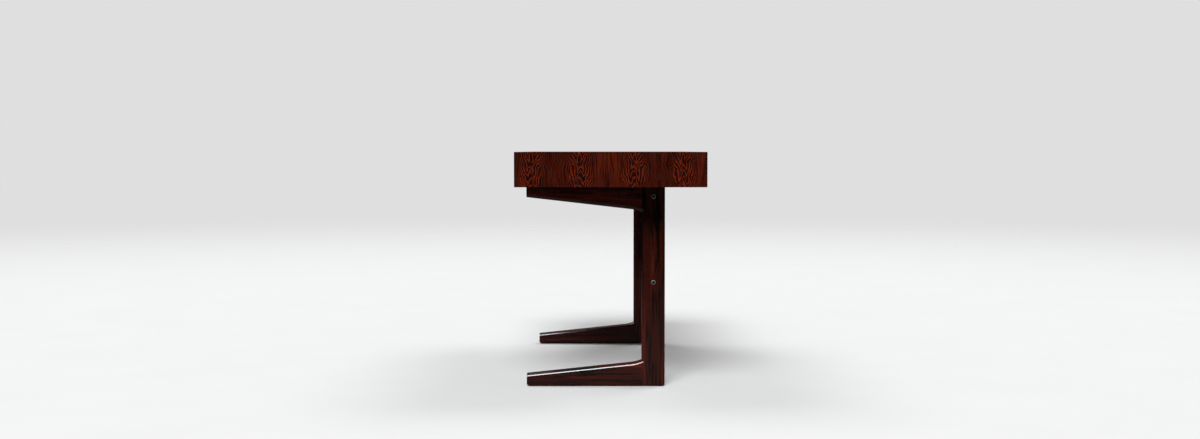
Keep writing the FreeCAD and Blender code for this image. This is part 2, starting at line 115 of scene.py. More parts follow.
def weighted(tree, base, *terms):
    """A base with each term added to it, times its weight."""
    for term, weight in terms:
        base = calc(tree, "MULTIPLY_ADD", term, weight, base)
    return base


def ease(tree, value, low, high):
    """A smooth step from 0 at low to 1 at high, which may run downwards."""
    inputs = {"Value": value, "From Min": low, "From Max": high}
    return put(tree, "ShaderNodeMapRange", inputs, interpolation_type="SMOOTHSTEP").outputs["Result"]


def between(tree, share, first, second):
    """A number between two numbers."""
    inputs = {"Factor": share, 2: first, 3: second}
    return put(tree, "ShaderNodeMix", inputs, data_type="FLOAT").outputs[0]


def blended(tree, share, first, second):
    """A colour between two colours."""
    inputs = {"Factor": share, 6: first, 7: second}
    return put(tree, "ShaderNodeMix", inputs, data_type="RGBA").outputs[2]


def vector(tree, x, y, z):
    """Three terms as one vector."""
    return put(tree, "ShaderNodeCombineXYZ", {0: x, 1: y, 2: z}).outputs[0]


def parts_of(tree, value):
    """The three parts of a vector."""
    return put(tree, "ShaderNodeSeparateXYZ", {0: value}).outputs


def vector_calc(tree, operation, first, second):
    """A Vector Math node on two vectors."""
    return put(tree, "ShaderNodeVectorMath", {0: first, 1: second}, operation=operation).outputs[0]


def length_of(tree, value):
    """The length of a vector."""
    return put(tree, "ShaderNodeVectorMath", {0: value}, operation="LENGTH").outputs["Value"]


class Cells(NamedTuple):
    """A noise's cells to the metre across and along the grain, its detail, and a layer of its own."""

    across: float
    along: float
    detail: float = 2.0
    roughness: float = 0.5
    layer: float = 0.0


def noise(tree, place, cells, output="Fac"):
    """Noise at a place that is already scaled to the noise's own cells."""
    inputs = {"Vector": place, "Scale": 1.0, "Detail": cells.detail, "Roughness": cells.roughness}
    return put(tree, "ShaderNodeTexNoise", inputs).outputs[output]


def drawn_out(tree, place, cells, output="Fac"):
    """Noise whose cells are drawn out along Z."""
    rates = (cells.across, cells.across, cells.along)
    return noise(tree, vector_calc(tree, "MULTIPLY", place, rates), cells, output)


def new_group(name, inputs, outputs):
    """A shader node group with float or vector inputs and float outputs."""
    group = bpy.data.node_groups.new(name, "ShaderNodeTree")
    for label, kind in inputs.items():
        group.interface.new_socket(label, in_out="INPUT", socket_type=kind)
    for label in outputs:
        group.interface.new_socket(label, in_out="OUTPUT", socket_type="NodeSocketFloat")
    entry = group.nodes.new("NodeGroupInput")
    return group, entry.outputs


def close_group(group, results):
    """Links a group's results to its output."""
    put(group, "NodeGroupOutput", results)
    return group


def place_group(tree, name, build, inputs):
    """The outputs of a node group, which is built the first time it is asked for."""
    group = bpy.data.node_groups.get(name) or build(name)
    return put(tree, "ShaderNodeGroup", inputs, node_tree=group).outputs


# Fibres and open pores show where their noises pass these values
FIBRE_EDGE = (0.40, 0.72)
PORE_EDGE = (0.63, 0.72)


# Veneer in mirrored leaves

class Leaf(NamedTuple):
    """Sockets for a point of the veneer: its place along the grain and across its leaf, and which leaf."""

    group: bpy.types.NodeTree
    along: bpy.types.NodeSocket
    across: bpy.types.NodeSocket
    number: bpy.types.NodeSocket


# How far the noises change from one leaf to the next, in layers
LEAF_DRIFT = 0.17


def grain(leaf, cells):
    """One of the veneer's noises, which drifts a little from leaf to leaf."""
    group = leaf.group
    spot = vector(
        group,
        calc(group, "MULTIPLY", leaf.across, cells.across),
        calc(group, "MULTIPLY", leaf.along, cells.along),
        calc(group, "MULTIPLY_ADD", leaf.number, LEAF_DRIFT, cells.layer),
    )
    return noise(group, spot, cells)


def swing(leaf, cells):
    """One of the veneer's noises, swinging about zero."""
    return calc(leaf.group, "SUBTRACT", grain(leaf, cells), 0.5)


# The line that the zigzags run down, and how far it sways, in metres
SWAY = Cells(12, 9)
SWAY_REACH = 0.035
WANDER = Cells(18, 48, layer=5.0)
WANDER_REACH = 0.011


def off_zigzags(leaf, motif_place):
    """How far a point lies from the swaying line that the zigzags run down."""
    off = calc(leaf.group, "SUBTRACT", leaf.across, motif_place)
    return weighted(leaf.group, off, (swing(leaf, SWAY), SWAY_REACH), (swing(leaf, WANDER), WANDER_REACH))


# The zigzags' points, slopes, flanks and fraying, with starts and reaches in metres
POINTS = Cells(6, 15, layer=21.0)
POINT_START = -0.003
POINT_REACH = 0.026
ZIGZAG_SLOPE = 2.8
ZIGZAG_LEAN = 0.42
FLANK_START = 0.018
FLANK_FLARE = 90
FRAY = Cells(420, 22, layer=3.0)
FRAY_REACH = 0.005
JOGS = Cells(85, 34, detail=1.0, layer=7.0)
JOG_REACH = 0.034


def zigzag_rise(leaf, off, distance):
    """The place along the grain, raised so that bands of it turn at points and flare up the flanks."""
    group = leaf.group
    point = calc(group, "MULTIPLY_ADD", grain(leaf, POINTS), POINT_REACH, POINT_START)
    from_point = calc(group, "ABSOLUTE", calc(group, "SUBTRACT", distance, point))
    flank = calc(group, "MAXIMUM", calc(group, "SUBTRACT", distance, FLANK_START), 0.0)
    return weighted(
        group,
        leaf.along,
        (from_point, ZIGZAG_SLOPE),
        (off, ZIGZAG_LEAN),
        (calc(group, "POWER", flank, 2), FLANK_FLARE),
        (grain(leaf, FRAY), FRAY_REACH),
        (grain(leaf, JOGS), JOG_REACH),
    )


# The zigzags' dark bands, in shares of a band's pitch
FEATHER = Cells(800, 16, layer=31.0)
BAND_WIDTH = Cells(60, 30, detail=1.0, layer=11.0)
RAGGED_REACH = 0.9
RAGGED_END = 0.3
BAND_BEGINS = (0.17, 0.42)
BAND_ENDS = (1.0, 0.84)
BAND_DEPTH = 0.97
FINER_PITCH = 0.31
FINER_BEGINS = (0.45, 0.80)
FINER_DEPTH = 0.18


def zigzag_bands(leaf, rise, pitch):
    """Dark bands, ragged where they begin and crisper where they end, with finer ones among them."""
    group = leaf.group
    feather = calc(group, "MULTIPLY", swing(leaf, FEATHER), RAGGED_REACH)
    waver = calc(group, "MULTIPLY", swing(leaf, BAND_WIDTH), RAGGED_REACH)
    band = calc(group, "FRACT", calc(group, "DIVIDE", rise, pitch))
    begun = ease(group, calc(group, "ADD", band, calc(group, "ADD", waver, feather)), *BAND_BEGINS)
    ended = ease(group, calc(group, "MULTIPLY_ADD", feather, RAGGED_END, band), *BAND_ENDS)
    bands = calc(group, "MULTIPLY", calc(group, "MULTIPLY", begun, ended), BAND_DEPTH)
    finer = calc(group, "FRACT", calc(group, "DIVIDE", rise, calc(group, "MULTIPLY", pitch, FINER_PITCH)))
    finer = ease(group, calc(group, "ADD", finer, feather), *FINER_BEGINS)
    return weighted(group, bands, (finer, FINER_DEPTH))


# The straight grain beside the zigzags
STRIPES = Cells(40, 5.0, detail=3.0, layer=13.0)
STRIPE_EDGE = (0.42, 0.66)
STRIPE_DEPTH = 0.22
LINES = Cells(440, 8.0, layer=17.0)
LINE_EDGE = (0.46, 0.55)
LINE_DEPTH = 0.80


def straight_grain(leaf, swayed):
    """Broad stripes and narrow lines along the grain; the lines follow the zigzags' sway."""
    group = leaf.group
    stripes = ease(group, grain(leaf, STRIPES), *STRIPE_EDGE)
    lines = ease(group, grain(swayed, LINES), *LINE_EDGE)
    return weighted(group, calc(group, "MULTIPLY", lines, LINE_DEPTH), (stripes, STRIPE_DEPTH))


# The shade over a leaf, which deepens with the distance from the zigzags' line, in metres
CLOUDS = Cells(16, 3.0, layer=29.0)
CLOUD_EDGE = (0.35, 0.68)
CLOUD_DEPTH = 0.28
SHADE_EDGE = (0.014, 0.052)
SHADE_TURN = (-0.03, 0.03)
SHADE_BEFORE = 0.72
SHADE_AFTER = 0.58


def leaf_tone(leaf, off, distance):
    """Bright wood along the zigzags, shading off to both sides and in slow clouds."""
    group = leaf.group
    clouds = ease(group, grain(leaf, CLOUDS), *CLOUD_EDGE)
    depth = between(group, ease(group, off, *SHADE_TURN), SHADE_BEFORE, SHADE_AFTER)
    shade = calc(group, "MULTIPLY", ease(group, distance, *SHADE_EDGE), depth)
    return weighted(group, shade, (clouds, CLOUD_DEPTH))


# Where the zigzags give way to straight grain, in metres from their line, and what lies over both
ZIGZAG_EDGE = (0.046, 0.027)
FIGURE_DEPTH = 0.88
LEAF_FIBRES = Cells(900, 9, layer=1.0)
LEAF_FIBRE_DEPTH = 0.20
LEAF_PORES = Cells(1700, 85, detail=1.0)


def leaf_figure_group(name):
    """Veneer in mirrored leaves: nested zigzags down the middle of a leaf, straight grain at its edges."""
    labels = ("Along", "Across", "Leaf Width", "Motif Place", "Band Pitch")
    sockets = {label: "NodeSocketFloat" for label in labels}
    group, given = new_group(name, sockets, ("Figure", "Tone", "Pores"))
    leaf = Leaf(
        group,
        along=given["Along"],
        across=calc(group, "PINGPONG", given["Across"], given["Leaf Width"]),
        number=calc(group, "FLOOR", calc(group, "DIVIDE", given["Across"], given["Leaf Width"])),
    )
    off = off_zigzags(leaf, given["Motif Place"])
    distance = calc(group, "ABSOLUTE", off)
    swayed = leaf._replace(across=off)
    bands = zigzag_bands(leaf, zigzag_rise(leaf, off, distance), given["Band Pitch"])
    figure = between(group, ease(group, distance, *ZIGZAG_EDGE), straight_grain(leaf, swayed), bands)
    figure = calc(group, "MULTIPLY", figure, FIGURE_DEPTH)
    fibres = ease(group, grain(swayed, LEAF_FIBRES), *FIBRE_EDGE)
    results = {
        "Figure": weighted(group, figure, (fibres, LEAF_FIBRE_DEPTH)),
        "Tone": leaf_tone(leaf, off, distance),
        "Pores": ease(group, grain(leaf, LEAF_PORES), *PORE_EDGE),
    }
    return close_group(group, results)


# Solid wood

WAVER = Cells(9, 2.3)
RINGS = Cells(1, 0.8, detail=3.0, roughness=0.6)
RING_EDGE = (0.45, 0.56)
RING_DEPTH = 0.56
STREAKS = Cells(105, 4.5, detail=3.0, roughness=0.6)
STREAK_EDGE = (0.47, 0.59)
STREAK_DEPTH = 0.54
SOLID_FIBRES = Cells(700, 9)
SOLID_FIBRE_DEPTH = 0.14
TONES = Cells(22, 1.3)
TONE_EDGE = (0.32, 0.68)
SOLID_PORES = Cells(1500, 75, detail=1.0)


def solid_figure_group(name):
    """Solid wood with its grain along Z: rings round a pith beside the piece, streaks and open pores."""
    sockets = {
        "Place": "NodeSocketVector",
        "Pith": "NodeSocketVector",
        "Ring Pitch": "NodeSocketFloat",
        "Waver": "NodeSocketFloat",
    }
    group, given = new_group(name, sockets, ("Figure", "Tone", "Pores"))
    place = given["Place"]
    waver = vector_calc(group, "SUBTRACT", drawn_out(group, place, WAVER, "Color"), (0.5, 0.5, 0.5))
    scale = {0: waver, "Scale": given["Waver"]}
    waver = put(group, "ShaderNodeVectorMath", scale, operation="SCALE").outputs[0]
    moved = vector_calc(group, "ADD", place, waver)
    from_pith = vector_calc(group, "SUBTRACT", moved, given["Pith"])
    radius = length_of(group, vector_calc(group, "MULTIPLY", from_pith, (1, 1, 0)))
    ring = calc(group, "DIVIDE", radius, given["Ring Pitch"])
    ring_place = vector(group, ring, 0.0, calc(group, "MULTIPLY", parts_of(group, place)[Z], RINGS.along))
    rings = ease(group, noise(group, ring_place, RINGS), *RING_EDGE)
    streaks = ease(group, drawn_out(group, moved, STREAKS), *STREAK_EDGE)
    fibres = ease(group, drawn_out(group, moved, SOLID_FIBRES), *FIBRE_EDGE)
    figure = calc(group, "MULTIPLY", streaks, STREAK_DEPTH)
    results = {
        "Figure": weighted(group, figure, (rings, RING_DEPTH), (fibres, SOLID_FIBRE_DEPTH)),
        "Tone": ease(group, drawn_out(group, moved, TONES), *TONE_EDGE),
        "Pores": ease(group, drawn_out(group, place, SOLID_PORES), *PORE_EDGE),
    }
    return close_group(group, results)


# Lacquer and wax

RUBBED = Cells(38, 38, detail=4.0, roughness=0.6)
RUBBED_EDGE = (0.3, 0.7)
PORE_DULLNESS = 0.12
BRUSHED = Cells(240, 240)
BRUSHED_HEIGHT = 0.25
FILM_BUMP = {"Strength": 0.18, "Distance": 0.0002}


def lacquer_group(name):
    """A brushed-out film over wood: its roughness, and the height of its ripple less the pores that show."""
    sockets = {
        "Place": "NodeSocketVector",
        "Pores": "NodeSocketFloat",
        "Low": "NodeSocketFloat",
        "High": "NodeSocketFloat",
    }
    group, given = new_group(name, sockets, ("Roughness", "Height"))
    rubbed = ease(group, drawn_out(group, given["Place"], RUBBED), *RUBBED_EDGE)
    roughness = between(group, rubbed, given["Low"], given["High"])
    ripple = calc(group, "MULTIPLY", drawn_out(group, given["Place"], BRUSHED), BRUSHED_HEIGHT)
    results = {
        "Roughness": weighted(group, roughness, (given["Pores"], PORE_DULLNESS)),
        "Height": calc(group, "SUBTRACT", ripple, given["Pores"]),
    }
    return close_group(group, results)


# Materials

class Run(NamedTuple):
    """A direction on a veneered board: its axis, which way the veneer runs, and where it is at the origin."""

    axis: int
    sign: float
    start: float


class Board(NamedTuple):
    """How a solid piece is cut: the turn of its grain onto Z, the pith beside it, and how far along."""

    turn: tuple
    pith: tuple
    shift: float = 0.0


# A face belongs to the axis that its normal leans this far along
FACING = 0.75

# Board edges show the straight grain that lies this near to a leaf's seam, in metres
EDGE_STRIP = 0.025


def new_material(name):
    """An empty node material with its Principled shader."""
    material = bpy.data.materials.new(name)
    material.use_nodes = True
    tree = material.node_tree
    tree.nodes.clear()
    shader = put(tree, "ShaderNodeBsdfPrincipled")
    put(tree, "ShaderNodeOutputMaterial", {"Surface": shader.outputs[0]})
    return material, tree, shader


def object_place(tree):
    """The place on the piece, in metres."""
    return put(tree, "ShaderNodeTexCoord").outputs["Object"]


def bumped(tree, shader, height, bump):
    """Lets a height stand out of the surface."""
    made = put(tree, "ShaderNodeBump", {"Height": height, **bump})
    tree.links.new(made.outputs[0], shader.inputs["Normal"])


def finish_wood(tree, shader, place, figured, look):
    """Colours the figure and lays the lacquer over it."""
    pores = figured["Pores"]
    ground = blended(tree, figured["Tone"], (*look.glow, 1), (*look.ground, 1))
    wood = blended(tree, figured["Figure"], ground, (*look.streak, 1))
    wood = blended(tree, calc(tree, "MULTIPLY", pores, look.pore_depth), wood, (*look.pore, 1))
    tree.links.new(wood, shader.inputs["Base Color"])
    film = {"Place": place, "Pores": pores, "Low": look.gloss_low, "High": look.gloss_high}
    lacquer = place_group(tree, "Lacquer film", lacquer_group, film)
    tree.links.new(lacquer["Roughness"], shader.inputs["Roughness"])
    bumped(tree, shader, lacquer["Height"], FILM_BUMP)
    shader.inputs["Specular IOR Level"].default_value = look.shine


def veneer_material(name, look, along, across):
    """Veneer on a board's faces, laid as its two runs say, with straight grain on its edges and ends."""
    material, tree, shader = new_material(name)
    place = object_place(tree)
    parts = parts_of(tree, place)
    facing = parts_of(tree, put(tree, "ShaderNodeTexCoord").outputs["Normal"])
    through = ({X, Y, Z} - {along.axis, across.axis}).pop()
    on_edge, on_end = (
        calc(tree, "GREATER_THAN", calc(tree, "ABSOLUTE", facing[run.axis]), FACING)
        for run in (across, along)
    )
    down, over = (
        calc(tree, "MULTIPLY_ADD", parts[run.axis], run.sign, run.start)
        for run in (along, across)
    )
    down = between(tree, on_end, down, over)
    strip = calc(tree, "PINGPONG", parts[through], EDGE_STRIP)
    over = between(tree, calc(tree, "MAXIMUM", on_edge, on_end), over, strip)
    leaves = {
        "Along": down,
        "Across": over,
        "Leaf Width": look.leaf_width,
        "Motif Place": look.motif_place,
        "Band Pitch": look.band_pitch,
    }
    figured = place_group(tree, "Mirrored leaves", leaf_figure_group, leaves)
    finish_wood(tree, shader, place, figured, look)
    return material


def level_cut(look, board, axis, start):
    """The runs of a board that stands on edge: zigzags at mid-height, cut from a start along the veneer."""
    low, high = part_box(board)
    return Run(axis, 1.0, start), Run(Z, 1.0, look.motif_place - (low.z + high.z) / 2)


def solid_figure(tree, look, place, pith):
    """The figure of solid wood at a place that has its grain along Z."""
    wood = {"Place": place, "Pith": pith, "Ring Pitch": look.ring_pitch, "Waver": look.waver}
    return place_group(tree, "Solid grain", solid_figure_group, wood)


def solid_material(name, look, board):
    """Solid wood, cut as its board says."""
    material, tree, shader = new_material(name)
    place = object_place(tree)
    cut = {"Vector": place, "Location": (0, 0, board.shift), "Rotation": board.turn}
    turned = put(tree, "ShaderNodeMapping", cut).outputs[0]
    finish_wood(tree, shader, place, solid_figure(tree, look, turned, board.pith), look)
    return material


# Turned steel and moulded glides: noises, and how far they colour, dull and raise the surface
TURNING = Cells(2600, 2600)
OIL_PATCHES = Cells(210, 210, detail=3.0)
OIL_EDGE = (0.42, 0.72)
OIL_DEPTH = 0.55
OIL_DULLNESS = 0.2
STEEL_ROUGHNESS = 0.26
TURNING_ROUGHNESS = 0.12
TURNING_BUMP = {"Strength": 0.25, "Distance": 0.00005}
STEEL_BARENESS = 0.35
# The sockets' painted shade: a dull, near-black finish in the hollows, lighter by this much away from oil
# patches
SOCKET_SHADE_BARENESS = 0.0
SOCKET_SHADE_LIGHTER = 1.5
MOULDED = Cells(1900, 1900, detail=3.0)
MOULDED_BUMP = {"Strength": 0.3, "Distance": 0.0001}
SCUFFS = Cells(320, 90, detail=4.0)
SCUFF_EDGE = (0.52, 0.7)
SCUFF_DEPTH = 0.5
SCUFF_LIGHTER = 4
SCUFF_DULLNESS = 0.2
PLASTIC_ROUGHNESS = 0.42


def turning_group(name):
    """Fine turning marks, and the patches that old oil has dulled."""
    group, given = new_group(name, {"Place": "NodeSocketVector"}, ("Marks", "Oil"))
    results = {
        "Marks": drawn_out(group, given["Place"], TURNING),
        "Oil": ease(group, drawn_out(group, given["Place"], OIL_PATCHES), *OIL_EDGE),
    }
    return close_group(group, results)


def toned(colour, times):
    """A colour made lighter or darker."""
    return tuple(times * part for part in colour)


def turned_steel(name, bare, oil_and_shade, bareness):
    """Plated steel with fine turning marks, dulled by oil in patches; in near-black colours it is the
    sockets' painted shade.
    """
    material, tree, shader = new_material(name)
    turned = place_group(tree, "Turned steel", turning_group, {"Place": object_place(tree)})
    marks, oil = turned["Marks"], turned["Oil"]
    colour = blended(tree, calc(tree, "MULTIPLY", oil, OIL_DEPTH), (*bare, 1), (*oil_and_shade, 1))
    tree.links.new(colour, shader.inputs["Base Color"])
    roughness = calc(tree, "MULTIPLY_ADD", marks, TURNING_ROUGHNESS, STEEL_ROUGHNESS)
    tree.links.new(weighted(tree, roughness, (oil, OIL_DULLNESS)), shader.inputs["Roughness"])
    bumped(tree, shader, marks, TURNING_BUMP)
    shader.inputs["Metallic"].default_value = bareness
    shader.inputs["Specular IOR Level"].default_value = bareness
    return material


def moulded_plastic(name, look):
    """Dark moulded plastic with a fine grain and paler scuffs."""
    material, tree, shader = new_material(name)
    place = object_place(tree)
    scuffs = ease(tree, drawn_out(tree, place, SCUFFS), *SCUFF_EDGE)
    worn = toned(look.plastic, SCUFF_LIGHTER)
    colour = blended(tree, calc(tree, "MULTIPLY", scuffs, SCUFF_DEPTH), (*look.plastic, 1), (*worn, 1))
    tree.links.new(colour, shader.inputs["Base Color"])
    roughness = calc(tree, "MULTIPLY_ADD", scuffs, SCUFF_DULLNESS, PLASTIC_ROUGHNESS)
    tree.links.new(roughness, shader.inputs["Roughness"])
    bumped(tree, shader, drawn_out(tree, place, MOULDED), MOULDED_BUMP)
    return material


def dress(nodes, material):
    """Gives CAD nodes a material."""
    for name in nodes:
        for slot in NODES[name].material_slots:
            slot.material = material


# New pieces

MERGE_DISTANCE = 1e-6
SHARP_ANGLE = math.radians(32)
TURNED_SEGMENTS = 48
DOME_STEPS = 7

# How far a bolt reaches into the modesty panel's end, in metres
BOLT_BITE = 0.025

# A glide's outline from its sole up, in shares of its radius and height
GLIDE_OUTLINE = (
    (0.55, 0.0), (0.80, 0.0), (0.90, 0.10), (0.97, 0.30), (1.0, 0.55), (1.0, 0.88), (0.96, 1.0),
)


def piece_from(bm, name, *materials):
    """A finished mesh as a piece of the desk."""
    bmesh.ops.remove_doubles(bm, verts=bm.verts, dist=MERGE_DISTANCE)
    bmesh.ops.recalc_face_normals(bm, faces=bm.faces)
    mesh = bpy.data.meshes.new(name)
    bm.to_mesh(mesh)
    bm.free()
    for material in materials:
        mesh.materials.append(material)
    mesh.shade_smooth()
    mesh.set_sharp_from_angle(angle=SHARP_ANGLE)
    made = bpy.data.objects.new(name, mesh)
    bpy.context.scene.collection.objects.link(made)
    return made


def ring_of(bm, radius, height, segments):
    """A circle of edges at a height."""
    place = Matrix.Translation((0, 0, height))
    made = bmesh.ops.create_circle(bm, segments=segments, radius=radius, matrix=place)
    return list(dict.fromkeys(edge for vert in made["verts"] for edge in vert.link_edges))


def turned_stack(bm, rings):
    """A turned outside: circles given as (radius, height), bridged one to the next."""
    loops = [ring_of(bm, radius, height, TURNED_SEGMENTS) for radius, height in rings]
    for lower, upper in zip(loops, loops[1:]):
        bmesh.ops.bridge_loops(bm, edges=lower + upper)
    return loops


def hexagon_of(bm, width, height):
    """A hexagon of edges, each cut so that it bridges to a turned circle."""
    corners = 6
    loop = ring_of(bm, width / math.sqrt(3), height, corners)
    made = bmesh.ops.subdivide_edges(bm, edges=loop, cuts=TURNED_SEGMENTS // corners - 1)
    return [item for item in made["geom"] if isinstance(item, bmesh.types.BMEdge)]


def socket_fastener(head_diameter, crown, shank_diameter, length, socket, depth, rim):
    """A domed fastener, its seat at height 0 and its socket facing up; the socket's faces are slot 1, for
    painted shade.
    """
    bm = bmesh.new()
    head, shank = head_diameter / 2, shank_diameter / 2
    tip, chamfer = shank * 0.72, shank * 0.5
    fillet, lip, shoulder, roundness = rim * 0.5, rim * 0.3, rim * 0.6, 0.8
    mouth = socket / math.sqrt(3) + rim * 1.3
    flare, flare_drop, edge_drop = rim * 0.5, rim * 0.2, rim * 0.7
    drill_point, drill_drop = socket * 0.1, socket * 0.25
    outside = [
        (tip, -length),
        (shank, chamfer - length),
        (shank, -fillet),
        (shank + fillet, 0.0),
        (head - lip, 0.0),
        (head, lip),
    ]
    for step in range(DOME_STEPS + 1):
        turn = math.pi / 2 * step / DOME_STEPS
        outside.append((
            mouth + (head - mouth) * math.cos(turn) ** roundness,
            shoulder + (crown - shoulder) * math.sin(turn),
        ))
    loops = turned_stack(bm, outside)
    bmesh.ops.edgeloop_fill(bm, edges=loops[0])
    hexagons = [
        hexagon_of(bm, socket + flare, crown - flare_drop),
        hexagon_of(bm, socket, crown - edge_drop),
        hexagon_of(bm, socket, crown - depth),
        hexagon_of(bm, drill_point, crown - depth - drill_drop),
    ]
    faces = []
    mouths = [loops[-1], *hexagons]
    for upper, lower in zip(mouths, mouths[1:]):
        faces += bmesh.ops.bridge_loops(bm, edges=upper + lower)["faces"]
    faces += bmesh.ops.edgeloop_fill(bm, edges=hexagons[-1])["faces"]
    # The socket's faces take the painted shade of the hollow
    for face in faces:
        face.material_index = 1
    return bm


def turned_glide(radius, height):
    """A glide that stands on the floor, round the Z axis."""
    bm = bmesh.new()
    loops = turned_stack(bm, [(radius * out, height * up) for out, up in GLIDE_OUTLINE])
    bmesh.ops.edgeloop_fill(bm, edges=loops[0])
    bmesh.ops.edgeloop_fill(bm, edges=loops[-1])
    return bm


def copies_at(source, places):
    """One mesh with a copy of the source at each place, which is a matrix."""
    mesh = bpy.data.meshes.new("copy")
    source.to_mesh(mesh)
    source.free()
    together = bmesh.new()
    for place in places:
        start = len(together.verts)
        together.from_mesh(mesh)
        together.verts.ensure_lookup_table()
        bmesh.ops.transform(together, matrix=place, verts=together.verts[start:])
    bpy.data.meshes.remove(mesh)
    return together


# What a user may change

def colour_of(name, description, default):
    """A setting that is a colour."""
    return FloatVectorProperty(name=name, description=description, default=default, subtype="COLOR")


def size_of(name, description, default):
    """A setting that is a length."""
    return FloatProperty(name=name, description=description, default=default, unit="LENGTH")


def share_of(name, description, default):
    """A setting that is a share from 0 to 1."""
    return FloatProperty(name=name, description=description, default=default, subtype="FACTOR")


def angle_of(name, description, default):
    """A setting that is an angle."""
    return FloatProperty(name=name, description=description, default=default, subtype="ANGLE")


def number_of(name, description, default):
    """A setting that is a plain number."""
    return FloatProperty(name=name, description=description, default=default)


class VeneerLook(bpy.types.PropertyGroup):
    """The rosewood veneer of the boards."""

    leaf_width: size_of("Leaf width", "Width of one veneer leaf", 0.155)
    seam: size_of("Seam", "Place of a seam across the desk", -0.166)
    motif_place: size_of("Motif place", "Zigzags' distance from that seam", 0.072)
    band_pitch: size_of("Band pitch", "Distance between zigzags along the grain", 0.024)
    glow: colour_of("Bright wood", "Lightest wood", (0.184, 0.0152, 0.0020))
    ground: colour_of("Wood", "Main colour", (0.046, 0.0041, 0.0008))
    streak: colour_of("Dark bands", "Dark figure", (0.0042, 0.0011, 0.0004))
    pore: colour_of("Pores", "Open pores", (0.004, 0.0012, 0.0007))
    pore_depth: share_of("Pore depth", "How strongly pores show", 0.7)
    gloss_low: share_of("Smoothest", "Roughness where rubbed smooth", 0.17)
    gloss_high: share_of("Roughest", "Roughness where duller", 0.26)
    shine: share_of("Shine", "Specular level of the lacquer", 0.5)


class SolidLook(bpy.types.PropertyGroup):
    """The solid rosewood of the legs and lippings."""

    ring_pitch: size_of("Ring pitch", "Width of growth rings", 0.013)
    waver: size_of("Waver", "How far the grain wanders", 0.045)
    glow: colour_of("Bright wood", "Lightest wood", (0.100, 0.0080, 0.0013))
    ground: colour_of("Wood", "Main colour", (0.032, 0.0032, 0.0008))
    streak: colour_of("Dark bands", "Dark streaks", (0.0040, 0.0013, 0.0006))
    pore: colour_of("Pores", "Open pores", (0.003, 0.0011, 0.0007))
    pore_depth: share_of("Pore depth", "How strongly pores show", 0.7)
    gloss_low: share_of("Smoothest", "Roughness where rubbed smooth", 0.15)
    gloss_high: share_of("Roughest", "Roughness where duller", 0.23)
    shine: share_of("Shine", "Specular level of the lacquer", 0.85)


class PaleLook(bpy.types.PropertyGroup):
    """The pale hardwood of the drawers' insides and the runners."""

    ring_pitch: size_of("Ring pitch", "Width of growth rings", 0.008)
    waver: size_of("Waver", "How far the grain wanders", 0.02)
    glow: colour_of("Bright wood", "Lightest wood", (0.60, 0.41, 0.23))
    ground: colour_of("Wood", "Main colour", (0.50, 0.32, 0.17))
    streak: colour_of("Dark bands", "Late wood", (0.38, 0.22, 0.11))
    pore: colour_of("Pores", "Open pores", (0.20, 0.11, 0.055))
    pore_depth: share_of("Pore depth", "How strongly pores show", 0.4)
    gloss_low: share_of("Smoothest", "Roughness where rubbed smooth", 0.42)
    gloss_high: share_of("Roughest", "Roughness where duller", 0.56)
    shine: share_of("Shine", "Specular level of the wax", 0.4)


class HardwareLook(bpy.types.PropertyGroup):
    """The bolts, screws and glides."""

    steel: colour_of("Steel", "Turned steel", (0.23, 0.22, 0.20))
    # Near-black: old oil in the steel's turning, and the painted shade inside the bolt and screw sockets
    grime_and_socket_shade: colour_of("Grime", "Old oil in the turning", (0.012, 0.011, 0.010))
    plastic: colour_of("Glide colour", "Moulded glide", (0.018, 0.014, 0.011))
    bolt_socket: size_of("Bolt socket", "Width across flats", 0.006)
    bolt_depth: size_of("Bolt socket depth", "Depth of the socket", 0.004)
    bolt_rim: size_of("Bolt rim", "Chamfer of the head", 0.0009)
    bolt_shank: size_of("Bolt shank", "Diameter of the shank", 0.008)
    screw_head: size_of("Screw head", "Diameter of the head", 0.010)
    screw_shank: size_of("Screw shank", "Diameter of the shank", 0.005)
    screw_head_height: size_of("Screw head height", "Height of the head", 0.003)
    screw_socket: size_of("Screw socket", "Width across flats", 0.004)
    screw_depth: size_of("Screw socket depth", "Depth of the socket", 0.0025)
    screw_rim: size_of("Screw rim", "Chamfer of the head", 0.0006)
    glide: size_of("Glide", "Diameter of a glide", 0.019)


class StudioLook(bpy.types.PropertyGroup):
    """The floor, the lights and the camera."""

    floor: colour_of("Floor", "Floor's colour", (0.64, 0.61, 0.59))
    bounce: share_of("Bounce", "Share of the floor that pieces are lit by", 0.56)
    mirrored: share_of("Mirrored", "Share of the floor that polish reflects", 0.12)
    haze: colour_of("Background", "What the floor fades into", (0.74, 0.74, 0.74))
    ambient: number_of("Ambient", "Strength of the light from all round", 0.30)
    sheen: number_of("Sheen", "Strength of what polish reflects from above", 0.50)
    sides: number_of("Sides", "Strength of what polish reflects from the sides", 0.04)
    daylight: colour_of("Daylight", "Main lights' colour", (0.90, 0.96, 1.0))
    key: number_of("Key", "Strength of the main light", 3.0)
    aside: number_of("Key aside", "Strength of the light beside it", 0.4)
    fill: number_of("Fill", "Strength of each fill", 1.1)
    spread: angle_of("Spread", "Width of the soft lights", math.radians(27))
    lens: number_of("Lens", "Focal length in millimetres", 42.546)
    stand: FloatVectorProperty(
        name="Camera", description="Camera's place", default=(4.9004, -0.0411, 0.7342), subtype="XYZ"
    )
    tilt: angle_of("Tilt", "How far the camera looks down", 0.0486)
    yaw: angle_of("Yaw", "How far it turns right", 0.0021)


class DeskLook(bpy.types.PropertyGroup):
    """All the desk's finishes."""

    veneer: PointerProperty(type=VeneerLook)
    solid: PointerProperty(type=SolidLook)
    pale: PointerProperty(type=PaleLook)
    hardware: PointerProperty(type=HardwareLook)
    studio: PointerProperty(type=StudioLook)


def desk_look():
    """The finishes as they are set now."""
    return bpy.context.scene.desk_look


# The operators, one for each group of like pieces

